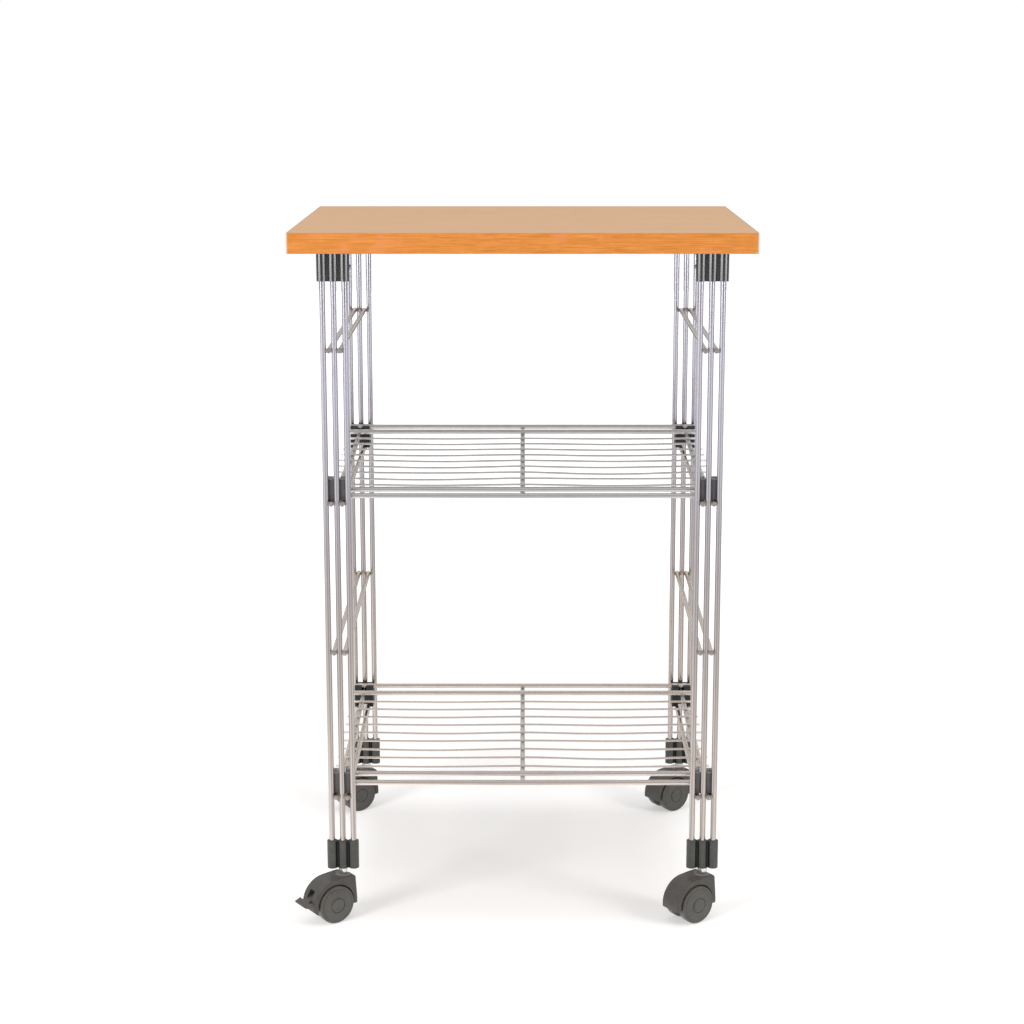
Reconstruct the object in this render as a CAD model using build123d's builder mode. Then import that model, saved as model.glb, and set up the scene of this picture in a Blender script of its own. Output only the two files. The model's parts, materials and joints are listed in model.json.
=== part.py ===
from build123d import *
import os
from math import atan2, cos, hypot, radians, sin

os.makedirs("parts", exist_ok=True)

# Kitchen trolley: a laminated board on four legs of three rods each, two wire shelves and four casters.
# Millimetres, +Z up, the front towards -Y, the origin on the floor in the middle of the whole trolley.
# The casters trail to the front left, so the board's middle stands a little to the back and right of it.
board_x = 4.0
board_y = 14.0

# Board
board_width = 500.0
board_depth = 380.0
board_thick = 22.0
band_thick = 1.0

# Legs: three rods side by side, and the pairs of depth rods welded into the two gaps between them
leg_inset_x = 47.65
leg_inset_y = 15.8
leg_rod_dia = 6.4
rod_pitch = 12.0
leg_rod_length = 670.7
weld_gap = 0.05
depth_rod_proud = 1.0
depth_rod_round = 1.8
level_count = 4
lowest_level = 63.7
highest_level_drop = 102.1

# Sockets at the top and the bottom of each leg
fit = 0.05
top_socket_height = 30.5
top_socket_roof = 3.0
top_barrel_dia = 11.6
top_web = 7.0
rod_end_gap = 0.2
bottom_socket_height = 31.7
outer_barrel_dia = 11.6
middle_barrel_dia = 10.6
bottom_web = 4.0
rod_seat_depth = 12.0
stem_bore_depth = 17.0

# Lug of the top socket, with the screws that hold it to the board and the one that clamps the rods
lug_width = 34.0
lug_reach = 20.0
lug_thick = 3.5
lug_screw_reach = 13.0
lug_screw_pitch = 20.0
screw_dia = 3.9
screw_length = 17.0
screw_head_dia = 7.8
screw_head_height = 2.4
clamp_height = 15.2
clamp_dia = 3.0
clamp_head_dia = 4.6
clamp_head_height = 1.4

# Shelves: thick rods at both ends, thin wires between them, all lying on bars that run front to back.
# The middle bar stops under the second rod from the front
shelf_rod_dia = 6.0
shelf_wire_dia = 2.5
shelf_bar_dia = 5.6
member_gap_count = 12
thick_rod_count = 2
outer_rod_inset = 13.0
shelf_overhang = 12.6
bar_overrun = 3.0
rod_end_round = 0.8
back_seat = 24.0
lower_front_seat = 12.0

# Shelf clips, standing on the depth rods against the legs
clip_width = 23.6
clip_depth = 19.0
clip_top = 26.0
clip_skirt = 1.0
clip_corner = 1.5
clip_fit = 0.1
bar_end_gap = 0.8
bar_floor_gap = 0.8

# Casters
wheel_dia = 43.0
wheel_width = 10.2
wheel_bulge = 1.0
wheel_edge = 1.2
wheel_gap = 1.5
hub_dia = 16.0
hub_proud = 0.8
hub_recess_depth = 4.0
rim_thick = 4.0
side_gap = 0.6
axle_dia = 6.0
axle_tip_gap = 0.6
hub_cap = 2.4
axle_boss_dia = 14.0
running_gap = 0.06
trail = 18.0
trail_angle = 215.6
hood_wall = 5.0
hood_width = 28.0
web_width = 11.6
hood_rise = 29.0
hood_skirt = 4.0
hood_round = 1.8
boss_round = 3.0
boss_back = 8.0
boss_front = 6.0
stem_dia = 8.0
stem_hole_depth = 19.0
stem_tip_gap = 0.5
swivel_gap = 0.3
collar_dia = 12.0
collar_height = 6.6
collar_taper = 1.4

# Brake lever of the front left caster, with its pivot measured from the axle
pivot_ahead = 15.0
pivot_rise = 11.5
pin_dia = 2.6
lever_barrel_dia = 6.8
lever_arm_width = 9.2
paddle_width = 26.0
paddle_start = 30.8
paddle_reach = 41.0
paddle_root_top = 6.9
paddle_root_bottom = 3.9
paddle_tip_top = 4.9
paddle_tip_bottom = 3.5
slot_side_gap = 0.3
slot_back = 9.0
slot_bottom = 0.5
slot_top = 17.5

# Heights, from the floor up
wheel_radius = wheel_dia / 2
axle_height = wheel_radius
hood_top = axle_height + hood_rise
collar_bottom = hood_top + swivel_gap
bottom_socket_z = collar_bottom + collar_height
rod_bottom = bottom_socket_z + bottom_socket_height - rod_seat_depth
rod_top = rod_bottom + leg_rod_length
board_bottom = rod_top + rod_end_gap + top_socket_roof
top_socket_z = board_bottom - top_socket_height
level_spacing = (leg_rod_length - lowest_level - highest_level_drop) / (level_count - 1)
levels = [rod_bottom + lowest_level + index * level_spacing for index in range(level_count)]

# Places in plan
leg_x = board_width / 2 - leg_inset_x
leg_y = board_depth / 2 - leg_inset_y
left_x = board_x - leg_x
right_x = board_x + leg_x
front_y = board_y - leg_y
back_y = board_y + leg_y
corners = {
    "front_left": (left_x, front_y),
    "front_right": (right_x, front_y),
    "back_left": (left_x, back_y),
    "back_right": (right_x, back_y),
}
depth_rod_dia = rod_pitch - leg_rod_dia - 2 * weld_gap
front_rod_y = front_y + outer_rod_inset
back_rod_y = back_y - outer_rod_inset
shelf_left = left_x - shelf_overhang
shelf_length = 2 * (leg_x + shelf_overhang)

# The upper shelf's front rods rest on the depth rods themselves, the other seats are in the clips
upper_front_seat = depth_rod_dia / 2 + shelf_rod_dia / 2 + weld_gap

# A caster's own directions in plan: along its trail, and along its axle
trail_way = (cos(radians(trail_angle)), sin(radians(trail_angle)), 0)
axle_way = (sin(radians(trail_angle)), -cos(radians(trail_angle)), 0)
web_half = web_width / 2
hood_half = hood_width / 2
wheel_inner = web_half + side_gap
wheel_outer = wheel_inner + wheel_width


def save(piece, name):
    piece.part.label = name
    export_step(piece.part, f"parts/{name}.step")


# Lug screws stand on the side of the legs that faces the middle of the trolley
def lug_screw_places(x, y):
    inward = 1 if y < board_y else -1
    screw_y = y + inward * lug_screw_reach
    return [(x - lug_screw_pitch / 2, screw_y), (x + lug_screw_pitch / 2, screw_y)]


all_lug_screws = [place for x, y in corners.values() for place in lug_screw_places(x, y)]

# Top board, with the pilot holes of the lug screws in its underside
with BuildPart() as top_board:
    with BuildSketch(Plane((board_x, board_y, board_bottom))):
        Rectangle(board_width - 2 * band_thick, board_depth - 2 * band_thick)
    extrude(amount=board_thick)
    with BuildSketch(Plane.XY.offset(board_bottom)):
        with Locations(*all_lug_screws):
            Circle(screw_dia / 2 + fit)
    extrude(amount=screw_length - lug_thick + fit, mode=Mode.SUBTRACT)
save(top_board, "top_board")

# Edge bands: the long ones cover the ends of the short ones
for name, away in (("edge_band_front", -1), ("edge_band_back", 1)):
    band_y = board_y + away * (board_depth - band_thick) / 2
    with BuildPart() as long_band:
        with BuildSketch(Plane((board_x, band_y, board_bottom))):
            Rectangle(board_width, band_thick)
        extrude(amount=board_thick)
        outer_face = long_band.faces().sort_by(Axis.Y)[0 if away < 0 else -1]
        chamfer(outer_face.edges(), length=band_thick / 3)
    save(long_band, name)
for name, away in (("edge_band_left", -1), ("edge_band_right", 1)):
    band_x = board_x + away * (board_width - band_thick) / 2
    with BuildPart() as short_band:
        with BuildSketch(Plane((band_x, board_y, board_bottom))):
            Rectangle(band_thick, board_depth - 2 * band_thick)
        extrude(amount=board_thick)
    save(short_band, name)

# Legs: three rods in a row
for corner, (x, y) in corners.items():
    with BuildPart() as leg:
        with BuildSketch(Plane((x, y, rod_bottom))):
            with GridLocations(rod_pitch, 0, 3, 1):
                Circle(leg_rod_dia / 2)
        extrude(amount=leg_rod_length)
    save(leg, f"leg_rods_{corner}")

# Depth rods: a pair at each level, through the gaps between the leg rods
for side, x in (("left", left_x), ("right", right_x)):
    for index, level in enumerate(levels):
        start_y = front_y - leg_rod_dia / 2 - depth_rod_proud
        with BuildPart() as depth_rods:
            with BuildSketch(Plane((x, start_y, level), x_dir=(1, 0, 0), z_dir=(0, 1, 0))):
                with GridLocations(rod_pitch, 0, 2, 1):
                    Circle(depth_rod_dia / 2)
            extrude(amount=2 * (leg_y + leg_rod_dia / 2 + depth_rod_proud))
            fillet(depth_rods.faces().filter_by(Axis.Y).edges(), radius=depth_rod_round)
        save(depth_rods, f"depth_rods_{side}_{index + 1}")

# Top sockets: three barrels over the ends of the leg rods, and a lug screwed to the board
for corner, (x, y) in corners.items():
    inward = 1 if y < board_y else -1
    inner = 1 if x < board_x else -1
    with BuildPart() as top_socket:
        with BuildSketch(Plane((x, y, top_socket_z))):
            with GridLocations(rod_pitch, 0, 3, 1):
                Circle(top_barrel_dia / 2)
            Rectangle(2 * rod_pitch, top_web)
        extrude(amount=top_socket_height)
        with BuildSketch(Plane((x, y + inward * lug_reach / 2, board_bottom - lug_thick))):
            Rectangle(lug_width, lug_reach)
        extrude(amount=lug_thick)
        with BuildSketch(Plane((x, y, top_socket_z))):
            with GridLocations(rod_pitch, 0, 3, 1):
                Circle(leg_rod_dia / 2 + fit)
        extrude(amount=top_socket_height - top_socket_roof, mode=Mode.SUBTRACT)
        with BuildSketch(Plane.XY.offset(board_bottom)):
            with Locations(*lug_screw_places(x, y)):
                Circle(screw_dia / 2 + fit)
        extrude(amount=-lug_thick, mode=Mode.SUBTRACT)
        clamp_start = x + inner * (rod_pitch + leg_rod_dia / 2)
        with BuildSketch(Plane((clamp_start, y, top_socket_z + clamp_height), z_dir=(inner, 0, 0))):
            Circle(clamp_dia / 2 + fit)
        extrude(amount=top_barrel_dia, mode=Mode.SUBTRACT)
    save(top_socket, f"top_socket_{corner}")

# Lug screws: pan heads under the lugs, shanks up into the board
with BuildPart() as board_screws:
    with BuildSketch(Plane.XY.offset(board_bottom - lug_thick)):
        with Locations(*all_lug_screws):
            Circle(screw_head_dia / 2)
    extrude(amount=-screw_head_height)
    fillet(board_screws.faces().group_by(Axis.Z)[0].edges(), radius=screw_head_height / 2)
    with BuildSketch(Plane.XY.offset(board_bottom - lug_thick)):
        with Locations(*all_lug_screws):
            Circle(screw_dia / 2)
    extrude(amount=screw_length)
save(board_screws, "board_screws")

# Clamp screws: small heads on the sockets' inner sides, their tips close to the leg rods
with BuildPart() as clamp_screws:
    for x, y in corners.values():
        inner = 1 if x < board_x else -1
        tip_x = x + inner * (rod_pitch + leg_rod_dia / 2 + 2 * fit)
        head_x = x + inner * (rod_pitch + top_barrel_dia / 2)
        clamp_z = top_socket_z + clamp_height
        with BuildSketch(Plane((tip_x, y, clamp_z), z_dir=(inner, 0, 0))):
            Circle(clamp_dia / 2)
        extrude(amount=(top_barrel_dia - leg_rod_dia) / 2)
        with BuildSketch(Plane((head_x, y, clamp_z), z_dir=(inner, 0, 0))):
            Circle(clamp_head_dia / 2)
        extrude(amount=clamp_head_height)
save(clamp_screws, "clamp_screws")

# Bottom sockets: the leg rods from above, the caster stem from below into the middle barrel
for corner, (x, y) in corners.items():
    with BuildPart() as bottom_socket:
        with BuildSketch(Plane((x, y, bottom_socket_z))):
            with GridLocations(2 * rod_pitch, 0, 2, 1):
                Circle(outer_barrel_dia / 2)
            Circle(middle_barrel_dia / 2)
            Rectangle(2 * rod_pitch, bottom_web)
        extrude(amount=bottom_socket_height)
        with BuildSketch(Plane((x, y, bottom_socket_z + bottom_socket_height))):
            with GridLocations(rod_pitch, 0, 3, 1):
                Circle(leg_rod_dia / 2 + fit)
        extrude(amount=-rod_seat_depth, mode=Mode.SUBTRACT)
        with BuildSketch(Plane((x, y, bottom_socket_z))):
            Circle(stem_dia / 2 + fit)
        extrude(amount=stem_bore_depth, mode=Mode.SUBTRACT)
    save(bottom_socket, f"bottom_socket_{corner}")


# Clips, a left and a right one: a saddle over the depth rods, a seat for the shelf's outer rod that runs
# across and is open to the top, and a channel for the shelf's end bar
def make_clips(name, leg_row_y, inward, level, seat):
    middle_y = leg_row_y + inward * ((leg_rod_dia + clip_depth) / 2 + clip_fit)
    seat_y = leg_row_y + inward * outer_rod_inset
    across = (1, 0, 0)
    with BuildPart() as clips:
        with BuildSketch(Plane((board_x, middle_y, level - clip_skirt))):
            with Locations((-leg_x, 0), (leg_x, 0)):
                RectangleRounded(clip_width, clip_depth, clip_corner)
        extrude(amount=clip_skirt + clip_top)
        saddle_top = depth_rod_dia / 2 + weld_gap
        with BuildSketch(Plane((board_x, middle_y, level), x_dir=across, z_dir=(0, -1, 0))):
            with Locations((-leg_x, saddle_top), (leg_x, saddle_top)):
                Rectangle(
                    rod_pitch + depth_rod_dia + 2 * clip_fit,
                    saddle_top + 2 * clip_skirt,
                    align=(Align.CENTER, Align.MAX),
                )
        extrude(amount=clip_depth, both=True, mode=Mode.SUBTRACT)
        seat_radius = shelf_rod_dia / 2 + clip_fit
        with BuildSketch(Plane((board_x, seat_y, level + seat), x_dir=(0, 1, 0), z_dir=across)):
            Circle(seat_radius)
            Rectangle(2 * seat_radius, clip_top, align=(Align.CENTER, Align.MIN))
        extrude(amount=leg_x + clip_width, both=True, mode=Mode.SUBTRACT)
        bar_radius = shelf_bar_dia / 2 + 2 * clip_fit
        bar_z = level + seat - (shelf_rod_dia + shelf_bar_dia) / 2 - bar_floor_gap
        bar_end_y = seat_y - inward * (bar_overrun + bar_end_gap)
        with BuildSketch(Plane((board_x, bar_end_y, bar_z), x_dir=across, z_dir=(0, -1, 0))):
            with Locations((-leg_x, 0), (leg_x, 0)):
                Circle(bar_radius)
                Rectangle(2 * bar_radius, 2 * clip_top, align=(Align.CENTER, Align.MIN))
        extrude(amount=-inward * clip_depth, mode=Mode.SUBTRACT)
    save(clips, name)


# Shelf: every member crosses on top of the bars, in one plane that slopes down to the front
def make_shelf(name, level, front_seat):
    rise = back_seat - front_seat
    run = back_rod_y - front_rod_y
    slope = atan2(rise, run)
    up = (0, -sin(slope), cos(slope))
    thick = []
    thin = []
    for index in range(member_gap_count + 1):
        y = front_rod_y + run * index / member_gap_count
        z = level + front_seat + rise * index / member_gap_count
        if thick_rod_count <= index <= member_gap_count - thick_rod_count:
            drop = (shelf_rod_dia - shelf_wire_dia) / 2
            thin.append((y - drop * up[1], z - drop * up[2]))
        else:
            thick.append((y, z))
    with BuildPart() as rods:
        with BuildSketch(Plane.YZ.offset(shelf_left)):
            with Locations(*thick):
                Circle(shelf_rod_dia / 2)
        extrude(amount=shelf_length)
        fillet(rods.faces().filter_by(Axis.X).edges(), radius=rod_end_round)
    save(rods, f"{name}_rods")
    with BuildPart() as wires:
        with BuildSketch(Plane.YZ.offset(shelf_left)):
            with Locations(*thin):
                Circle(shelf_wire_dia / 2)
        extrude(amount=shelf_length)
    save(wires, f"{name}_wires")
    drop = (shelf_rod_dia + shelf_bar_dia) / 2 + weld_gap
    start_y = front_rod_y - drop * up[1] - bar_overrun * cos(slope)
    start_z = level + front_seat - drop * up[2] - bar_overrun * sin(slope)
    bar_start = Plane((board_x, start_y, start_z), x_dir=(1, 0, 0), z_dir=(0, cos(slope), sin(slope)))
    bar_length = hypot(run, rise) + 2 * bar_overrun
    middle_start = hypot(run, rise) / member_gap_count
    with BuildPart() as bars:
        with BuildSketch(bar_start):
            with GridLocations(2 * leg_x, 0, 2, 1):
                Circle(shelf_bar_dia / 2)
        extrude(amount=bar_length)
        with BuildSketch(bar_start.offset(middle_start)):
            Circle(shelf_bar_dia / 2)
        extrude(amount=bar_length - middle_start)
        fillet(bars.faces().filter_by(GeomType.PLANE).edges(), radius=rod_end_round)
    save(bars, f"{name}_bars")


for name, level, front_seat in (
    ("upper_shelf", levels[2], upper_front_seat),
    ("lower_shelf", levels[0], lower_front_seat),
):
    make_clips(f"{name}_front_clips", front_y, 1, level, front_seat)
    make_clips(f"{name}_back_clips", back_y, -1, level, back_seat)
    make_shelf(name, level, front_seat)


# Side view of a caster: x runs along the trail from the stem, y is the height above the floor,
# and across is how far the plane stands from the caster's middle along the axle
def side_plane(x, y, across=0.0):
    middle = (x + across * axle_way[0], y + across * axle_way[1], 0)
    return Plane(middle, x_dir=trail_way, z_dir=axle_way)


# Hood: a cover over both wheels on one middle web, with the stem hole and the axle hole
def make_hood(corner, x, y, with_brake):
    with BuildPart() as hood:
        with BuildSketch(side_plane(x, y)) as outline:
            with Locations((trail, axle_height)):
                Circle(wheel_radius + wheel_gap + hood_wall)
            with Locations((-boss_back, hood_top)):
                Rectangle(boss_back + boss_front, hood_rise, align=(Align.MIN, Align.MAX))
            make_hull()
            fillet(outline.vertices().group_by(Axis.Y)[-1], radius=boss_round)
        extrude(amount=hood_half, both=True)
        sides = hood.faces().filter_by(Plane((0, 0, 0), z_dir=axle_way))
        fillet(sides.edges(), radius=hood_round)
        with BuildSketch(side_plane(x, y)):
            with Locations((trail, axle_height - hood_skirt)):
                Rectangle(2 * wheel_dia, wheel_dia, align=(Align.CENTER, Align.MAX))
        extrude(amount=hood_width, both=True, mode=Mode.SUBTRACT)
        for side in (-1, 1):
            with BuildSketch(side_plane(x, y, side * web_half)):
                with Locations((trail, axle_height)):
                    Circle(wheel_radius + wheel_gap)
            extrude(amount=side * hood_half, mode=Mode.SUBTRACT)
        with BuildSketch(side_plane(x, y)):
            with Locations((trail, axle_height)):
                Circle(axle_boss_dia / 2)
        extrude(amount=web_half, both=True)
        if with_brake:
            with BuildSketch(side_plane(x, y)):
                with Locations((trail + slot_back, axle_height + slot_bottom)):
                    Rectangle(wheel_dia, slot_top - slot_bottom, align=(Align.MIN, Align.MIN))
            extrude(amount=lever_arm_width / 2 + slot_side_gap, both=True, mode=Mode.SUBTRACT)
            with BuildSketch(side_plane(x, y)):
                with Locations((trail + pivot_ahead, axle_height + pivot_rise)):
                    Circle(pin_dia / 2 + weld_gap)
            extrude(amount=web_half, both=True, mode=Mode.SUBTRACT)
        with BuildSketch(side_plane(x, y)):
            with Locations((trail, axle_height)):
                Circle(axle_dia / 2 + weld_gap)
        extrude(amount=web_width, both=True, mode=Mode.SUBTRACT)
        with BuildSketch(Plane((x, y, hood_top))):
            Circle(stem_dia / 2 + running_gap)
        extrude(amount=-stem_hole_depth, mode=Mode.SUBTRACT)
    save(hood, f"caster_hood_{corner}")


# Wheel: a blind hub on the axle, a hollow back and a bulging face with a raised hub
def make_wheel(corner, x, y, which, side):
    out = (side * axle_way[0], side * axle_way[1], 0)
    middle = (x + trail * trail_way[0], y + trail * trail_way[1], axle_height)
    section = Plane(middle, x_dir=out, z_dir=(out[1], -out[0], 0))
    bore_end = wheel_outer + wheel_bulge + hub_proud - hub_cap
    recess_end = wheel_inner + hub_recess_depth
    hub_radius = hub_dia / 2
    with BuildPart() as wheel:
        with BuildSketch(section):
            with BuildLine():
                Polyline(
                    (bore_end, 0),
                    (bore_end, axle_dia / 2 + running_gap),
                    (wheel_inner, axle_dia / 2 + running_gap),
                    (wheel_inner, hub_radius),
                    (recess_end, hub_radius),
                    (recess_end, wheel_radius - rim_thick),
                    (wheel_inner, wheel_radius - rim_thick),
                    (wheel_inner, wheel_radius - wheel_edge),
                    (wheel_inner + wheel_edge, wheel_radius),
                    (wheel_outer - wheel_edge, wheel_radius),
                    (wheel_outer, wheel_radius - wheel_edge),
                    (wheel_outer + wheel_bulge, hub_radius + hub_proud),
                    (wheel_outer + wheel_bulge, hub_radius),
                    (wheel_outer + wheel_bulge + hub_proud, hub_radius - hub_proud),
                    (wheel_outer + wheel_bulge + hub_proud, 0),
                    close=True,
                )
            make_face()
        revolve(axis=Axis(middle, out))
    save(wheel, f"wheel_{which}_{corner}")


for corner, (x, y) in corners.items():
    make_hood(corner, x, y, with_brake=corner == "front_left")
    make_wheel(corner, x, y, "near", -1)
    make_wheel(corner, x, y, "far", 1)

    # Axle, closed in between the two blind hubs
    axle_half = wheel_outer + wheel_bulge + hub_proud - hub_cap - axle_tip_gap
    with BuildPart() as axle:
        with BuildSketch(side_plane(x, y)):
            with Locations((trail, axle_height)):
                Circle(axle_dia / 2)
        extrude(amount=axle_half, both=True)
    save(axle, f"caster_axle_{corner}")

    # Stem: its collar carries the socket, its lower end turns in the hood
    with BuildPart() as stem:
        with BuildSketch(Plane((x, y, collar_bottom))):
            Circle(collar_dia / 2)
        extrude(amount=collar_height)
        chamfer(stem.faces().sort_by(Axis.Z)[0].edges(), length=collar_taper)
        with BuildSketch(Plane((x, y, hood_top - stem_hole_depth + stem_tip_gap))):
            Circle(stem_dia / 2)
        extrude(until=Until.NEXT)
        with BuildSketch(Plane((x, y, bottom_socket_z))):
            Circle(stem_dia / 2)
        extrude(amount=stem_bore_depth - stem_tip_gap)
    save(stem, f"caster_stem_{corner}")

# Brake lever: a barrel on the pin, an arm through the hood's slot and a wide paddle outside
lever_x, lever_y = corners["front_left"]
with BuildPart() as brake_lever:
    pivot = (trail + pivot_ahead, axle_height + pivot_rise)
    root_top = (trail + paddle_start, axle_height + paddle_root_top)
    root_bottom = (trail + paddle_start, axle_height + paddle_root_bottom)
    with BuildSketch(side_plane(lever_x, lever_y)):
        with Locations(pivot):
            Circle(lever_barrel_dia / 2)
        with BuildLine():
            Polyline(
                pivot,
                (pivot[0] + lever_barrel_dia / 2, pivot[1]),
                root_top,
                root_bottom,
                (pivot[0], pivot[1] - lever_barrel_dia / 2),
                close=True,
            )
        make_face()
    extrude(amount=lever_arm_width / 2, both=True)
    with BuildSketch(side_plane(lever_x, lever_y)):
        with BuildLine():
            Polyline(
                root_top,
                (trail + paddle_reach, axle_height + paddle_tip_top),
                (trail + paddle_reach, axle_height + paddle_tip_bottom),
                root_bottom,
                close=True,
            )
        make_face()
    extrude(amount=paddle_width / 2, both=True)
    with BuildSketch(side_plane(lever_x, lever_y)):
        with Locations(pivot):
            Circle(pin_dia / 2 + running_gap)
    extrude(amount=lever_arm_width, both=True, mode=Mode.SUBTRACT)
save(brake_lever, "brake_lever")

with BuildPart() as brake_pin:
    with BuildSketch(side_plane(lever_x, lever_y)):
        with Locations(pivot):
            Circle(pin_dia / 2)
    extrude(amount=web_half - weld_gap, both=True)
save(brake_pin, "brake_pin")
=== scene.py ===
import json
import math
import random

import bmesh
import bpy
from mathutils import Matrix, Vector, noise


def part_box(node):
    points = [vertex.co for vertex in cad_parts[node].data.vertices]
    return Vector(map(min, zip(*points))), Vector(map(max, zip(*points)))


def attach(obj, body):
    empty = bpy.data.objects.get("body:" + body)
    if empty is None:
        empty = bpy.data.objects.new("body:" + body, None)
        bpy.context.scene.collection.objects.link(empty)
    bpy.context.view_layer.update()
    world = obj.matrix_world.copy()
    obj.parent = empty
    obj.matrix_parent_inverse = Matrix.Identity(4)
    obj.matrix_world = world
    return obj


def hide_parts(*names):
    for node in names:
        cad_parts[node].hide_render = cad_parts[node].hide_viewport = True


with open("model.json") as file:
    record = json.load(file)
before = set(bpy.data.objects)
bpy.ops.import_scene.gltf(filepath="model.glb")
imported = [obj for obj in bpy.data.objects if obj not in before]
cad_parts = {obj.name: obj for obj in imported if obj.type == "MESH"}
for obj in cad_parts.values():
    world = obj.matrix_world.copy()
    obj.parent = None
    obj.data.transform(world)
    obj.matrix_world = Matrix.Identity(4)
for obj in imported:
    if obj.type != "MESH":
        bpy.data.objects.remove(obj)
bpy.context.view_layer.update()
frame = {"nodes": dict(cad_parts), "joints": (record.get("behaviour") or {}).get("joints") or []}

# Kitchen trolley: an orange beech board on wire legs, two wire shelves and twin wheel casters.
# Metres, +Z up, the front towards -Y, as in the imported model.
nodes = frame["nodes"]
joints = {joint["name"]: joint for joint in frame["joints"]}
mm = 0.001
print("frame loaded with", len(nodes), "nodes")


# Shader helpers
class Signal:
    # a socket that can stand in a Python expression; every operation on values adds its Math node
    def __init__(self, finish, socket):
        self.finish = finish
        self.socket = socket

    def math(self, operation, first, second=0.0):
        return self.finish.node("ShaderNodeMath", {"operation": operation}, {0: first, 1: second})

    def __add__(self, other):
        return self.math("ADD", self, other)

    def __radd__(self, other):
        return self.math("ADD", other, self)

    def __sub__(self, other):
        return self.math("SUBTRACT", self, other)

    def __rsub__(self, other):
        return self.math("SUBTRACT", other, self)

    def __mul__(self, other):
        return self.math("MULTIPLY", self, other)

    def __rmul__(self, other):
        return self.math("MULTIPLY", other, self)

    def __truediv__(self, other):
        return self.math("DIVIDE", self, other)

    def __rtruediv__(self, other):
        return self.math("DIVIDE", other, self)

    def __pow__(self, other):
        return self.math("POWER", self, other)

    def absolute(self):
        return self.math("ABSOLUTE", self)

    def between(self, low, high):
        # 0 below low, 1 above high, smooth in between; low may be above high to turn it round
        settings = {"interpolation_type": "SMOOTHSTEP"}
        sockets = {"Value": self, "From Min": min(low, high), "From Max": max(low, high)}
        eased = self.finish.node("ShaderNodeMapRange", settings, sockets)
        return 1 - eased if low > high else eased


class Finish:
    # the node tree of one material or of the world
    def __init__(self, name, owner=None):
        self.owner = owner or bpy.data.materials.new(name)
        self.owner.use_nodes = True
        self.tree = self.owner.node_tree
        self.tree.nodes.clear()

    def node(self, kind, settings=None, sockets=None, out=0):
        # the settings come first, then the values or links of the sockets
        made = self.tree.nodes.new(kind)
        for key, value in (settings or {}).items():
            setattr(made, key, value)
        for key, value in (sockets or {}).items():
            if isinstance(value, Signal):
                self.tree.links.new(value.socket, made.inputs[key])
            else:
                made.inputs[key].default_value = value
        return Signal(self, made.outputs[out]) if made.outputs else None

    def place(self):
        # the point on the object at rest, in metres in the frame of the whole trolley
        return self.node("ShaderNodeTexCoord", out="Object")

    def axes(self, point):
        parts = self.node("ShaderNodeSeparateXYZ", sockets={"Vector": point})
        split = parts.socket.node.outputs
        return [Signal(self, split[index]) for index in range(3)]

    def stretch(self, point, factors):
        return self.node("ShaderNodeVectorMath", {"operation": "MULTIPLY"}, {0: point, 1: factors})

    def noise(self, point, scale=1.0, detail=2.0, roughness=0.5):
        sockets = {"Vector": point, "Scale": scale, "Detail": detail, "Roughness": roughness}
        return self.node("ShaderNodeTexNoise", {"noise_dimensions": "3D"}, sockets)

    def mix(self, share, first, second):
        settings = {"data_type": "RGBA", "blend_type": "MIX"}
        return self.node("ShaderNodeMix", settings, {0: share, 6: first, 7: second}, out=2)

    def bump(self, height, distance):
        sockets = {"Height": height, "Distance": distance, "Strength": 1.0}
        return self.node("ShaderNodeBump", sockets=sockets)

    def surface(self, sockets):
        shader = self.node("ShaderNodeBsdfPrincipled", sockets=sockets)
        self.node("ShaderNodeOutputMaterial", sockets={"Surface": shader})
        return self.owner


def tone(red, green, blue):
    # a colour given as it looks on a screen, from 0 to 255
    linear = []
    for c in (red, green, blue):
        linear.append(((c / 255 + 0.055) / 1.055) ** 2.4 if c > 10 else c / 255 / 12.92)
    return (*linear, 1.0)


# Board and edge bands: orange beech laminate with its grain along x, on the side bands along y, and a
# pale backing below; the bands get painted shade along their upper edge and a painted highlight at their
# ends
boardLow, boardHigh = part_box("top_board")
boardLook = {
    "light": tone(228, 174, 112),
    "dark": tone(216, 161, 99),
    "fleck": tone(188, 132, 76),
    "roughness": 0.36,
    "streakWidth": 0.0016,
    "streakLength": 0.11,
    "grainDepth": 0.00004,
    "backing": tone(208, 202, 192),
    "backingMottle": tone(192, 185, 174),
}
bandLook = {
    "light": tone(236, 153, 74),
    "dark": tone(212, 128, 46),
    "fleck": tone(180, 96, 34),
    "blush": tone(238, 148, 92),
    "roughness": 0.42,
    "streakWidth": 0.0011,
    "streakLength": 0.045,
    "grainDepth": 0.00007,
    "rim": tone(178, 142, 112),  # painted shade along the rounded upper edge
    "end": tone(226, 186, 156),  # painted highlight on the rounded corners at the ends of the long bands
}
# Shared by board and bands; a pair gives the noise values or distances between which a tone comes in
beechGrain = {
    "streaks": (0.34, 0.66),
    "clouds": (0.45, 0.75),
    "cloudFineness": 0.12,  # against the streaks
    "cloudShare": 0.35,
    "pores": (0.60, 0.72),
    "poreFineness": 2.3,  # against the streaks
    "poreShare": 0.55,
    "blush": (0.52, 0.66),
    "blushFineness": 35.0,
    "blushShare": 0.5,
    "mottle": (0.35, 0.7),
    "mottleFineness": 90.0,
    "backingEdge": (0.3 * mm, 0.1 * mm),  # above the underside
    "rimShadeEdge": (0.8 * mm, 0.3 * mm),  # below the top, where the painted shade of the upper edge comes in
    "endHighlightEdge": (0.9 * mm, 0.2 * mm),  # inside the board's end, and outside it, where the painted highlight of the band's corners comes in
    "uneven": 0.12,  # how far the roughness varies
    "streakRelief": 0.4,  # against the pores
}


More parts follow.
